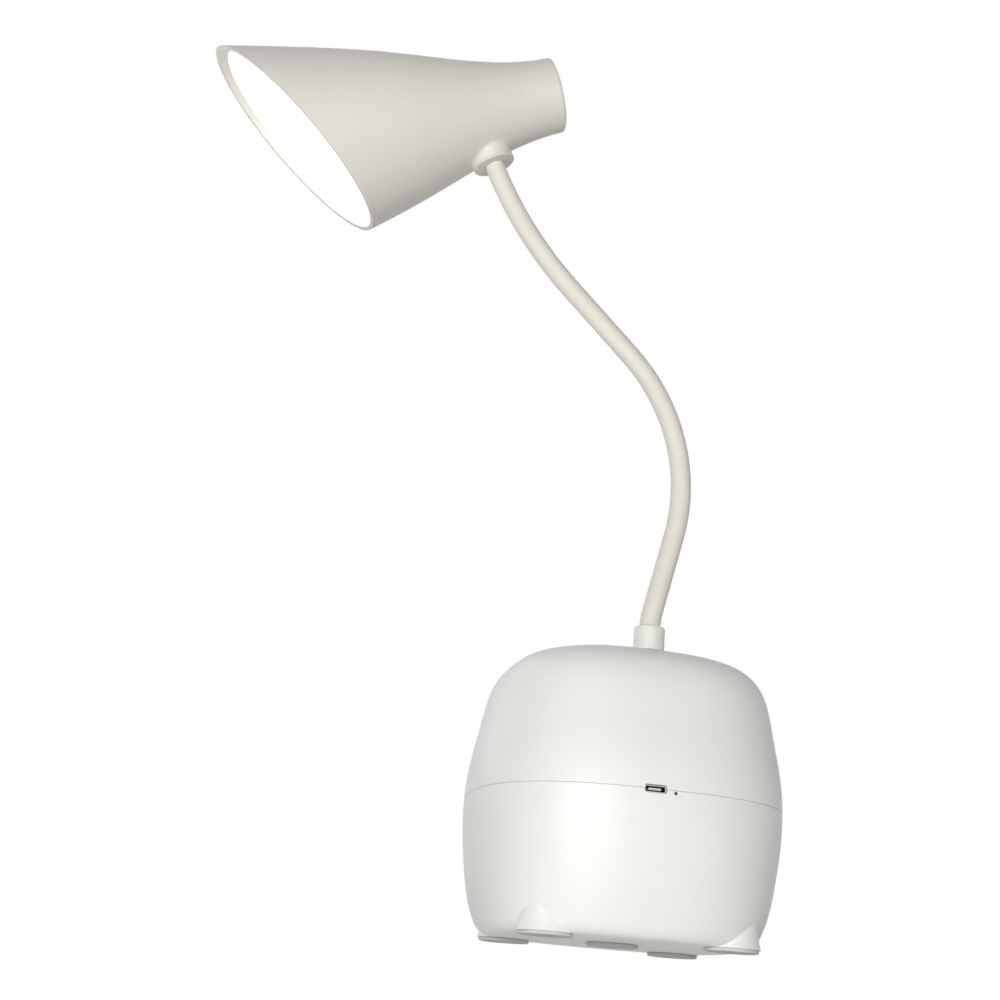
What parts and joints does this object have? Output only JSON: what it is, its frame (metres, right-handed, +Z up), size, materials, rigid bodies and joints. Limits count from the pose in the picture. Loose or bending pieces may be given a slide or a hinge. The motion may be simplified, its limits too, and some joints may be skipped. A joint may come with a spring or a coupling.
{
  "type": "desk lamp with drawer base",
  "caption": "Cordless gooseneck desk lamp: horn-shaped head with a lit oblique mouth, sleeved neck, barrel base with a drawer, a phone slot and a charging port.",
  "frame": {"origin": "centre of the base on the table plane, at the underside of the middle pad", "axes": "+Z up along the base's height; -Y towards the front with the drawer, phone slot and button; +Y towards the rear with the charging port; +X towards the side that the neck carries the head to"},
  "size_m": [0.2447, 0.1226, 0.3411],
  "materials": {
    "housing_plastic": "satin moulded white",
    "head_plastic": "satin moulded warm grey-white",
    "collar_plastic": "satin moulded white",
    "neck_silicone": "matt cream silicone",
    "link_steel": "wound steel",
    "ferrule_plastic": "satin moulded warm grey-white",
    "nut_steel": "zinc plated",
    "screw_steel": "zinc plated",
    "pad_rubber": "matt pale rubber",
    "ballast_iron": "plain",
    "deck_plastic": "plain moulded",
    "drawer_plastic": "satin moulded white",
    "tray_plastic": "plain moulded",
    "runner_nylon": "smooth nylon",
    "button_plastic": "satin moulded grey-white",
    "dome_silicone": "translucent silicone",
    "switch_black": "moulded",
    "board_green": "solder mask",
    "lamp_board_white": "white solder mask",
    "cell_wrap": "shrink wrap",
    "cradle_plastic": "plain moulded",
    "socket_steel": "nickel plated",
    "light_clear": "clear light pipe",
    "lead_insulation": "black insulation",
    "diffuser_plastic": "opal diffuser, lit",
    "liner_plastic": "white reflector",
    "chip_phosphor": "lit",
    "spreader_aluminium": "stamped sheet"
  },
  "bodies": {
    "base": {"lower_housing": "housing_plastic", "upper_housing": "housing_plastic", "rubber_pads": "pad_rubber", "ballast_plate": "ballast_iron", "inner_deck": "deck_plastic", "deck_screws": "screw_steel", "housing_screws": "screw_steel", "board_screws": "screw_steel", "drawer_runners": "runner_nylon", "battery_cell": "cell_wrap", "battery_cradle": "cradle_plastic", "battery_lead": "lead_insulation", "control_board": "board_green", "usb_socket": "socket_steel", "charge_light": "light_clear", "button_lead": "lead_insulation", "switch_board": "board_green", "switch_screws": "screw_steel", "tact_switch": "switch_black", "return_dome": "dome_silicone", "neck_lead": "lead_insulation", "neck_collar": "collar_plastic", "collar_nut": "nut_steel", "neck_core_1": "link_steel", "neck_sleeve_1": "neck_silicone", "neck_flex_1": "neck_silicone"},
    "drawer": {"drawer_tray": "tray_plastic", "drawer_front": "drawer_plastic", "drawer_front_screws": "screw_steel", "drawer_knob": "drawer_plastic", "knob_screw": "screw_steel"},
    "button": {"power_button": "button_plastic"},
    "neck_link_2": {"neck_core_2": "link_steel", "neck_sleeve_2": "neck_silicone", "neck_flex_2": "neck_silicone"},
    "neck_link_3": {"neck_core_3": "link_steel", "neck_sleeve_3": "neck_silicone", "neck_flex_3": "neck_silicone"},
    "neck_link_4": {"neck_core_4": "link_steel", "neck_sleeve_4": "neck_silicone", "neck_flex_4": "neck_silicone"},
    "neck_link_5": {"neck_core_5": "link_steel", "neck_sleeve_5": "neck_silicone", "neck_flex_5": "neck_silicone"},
    "head": {"neck_core_6": "link_steel", "neck_sleeve_6": "neck_silicone", "head_ferrule": "ferrule_plastic", "ferrule_nut": "nut_steel", "shade": "head_plastic", "rear_cap": "head_plastic", "diffuser": "diffuser_plastic", "reflector_liner": "liner_plastic", "lamp_board": "lamp_board_white", "led_chips": "chip_phosphor", "heat_spreader": "spreader_aluminium", "lamp_screws": "screw_steel", "head_lead": "lead_insulation"}
  },
  "joints": [
    {"name": "drawer_slide", "type": "slide", "parent": "base", "child": "drawer", "axis": [0, -1, 0], "range_m": [0, 0.045]},
    {"name": "button_press", "type": "slide", "parent": "base", "child": "button", "axis": [0, 1, 0], "range_m": [0, 0.001], "stiffness_N_per_m": 600, "springref_m": -0.0005, "deforming": ["return_dome"]},
    {"name": "neck_low_sway", "type": "hinge", "parent": "base", "child": "neck_link_2", "pos_m": [-0.00429, 0.028, 0.13514], "axis": [1, 0, 0], "range_deg": [-25, 25], "deforming": ["neck_flex_1"]},
    {"name": "neck_low_bend", "type": "hinge", "parent": "neck_link_2", "child": "neck_link_3", "pos_m": [-0.00938, 0.028, 0.17459], "axis": [0, 1, 0], "range_deg": [-25, 25], "deforming": ["neck_flex_2"]},
    {"name": "neck_mid_bend", "type": "hinge", "parent": "neck_link_3", "child": "neck_link_4", "pos_m": [0.00649, 0.028, 0.21392], "axis": [0, 1, 0], "range_deg": [-30, 25], "deforming": ["neck_flex_3"]},
    {"name": "neck_high_sway", "type": "hinge", "parent": "neck_link_4", "child": "neck_link_5", "pos_m": [0.03714, 0.028, 0.24404], "axis": [0.6884, 0, -0.7254], "range_deg": [-30, 30], "deforming": ["neck_flex_4"]},
    {"name": "neck_top_bend", "type": "hinge", "parent": "neck_link_5", "child": "head", "pos_m": [0.06385, 0.028, 0.2763], "axis": [0, 1, 0], "range_deg": [-30, 30], "deforming": ["neck_flex_5"]}
  ]
}
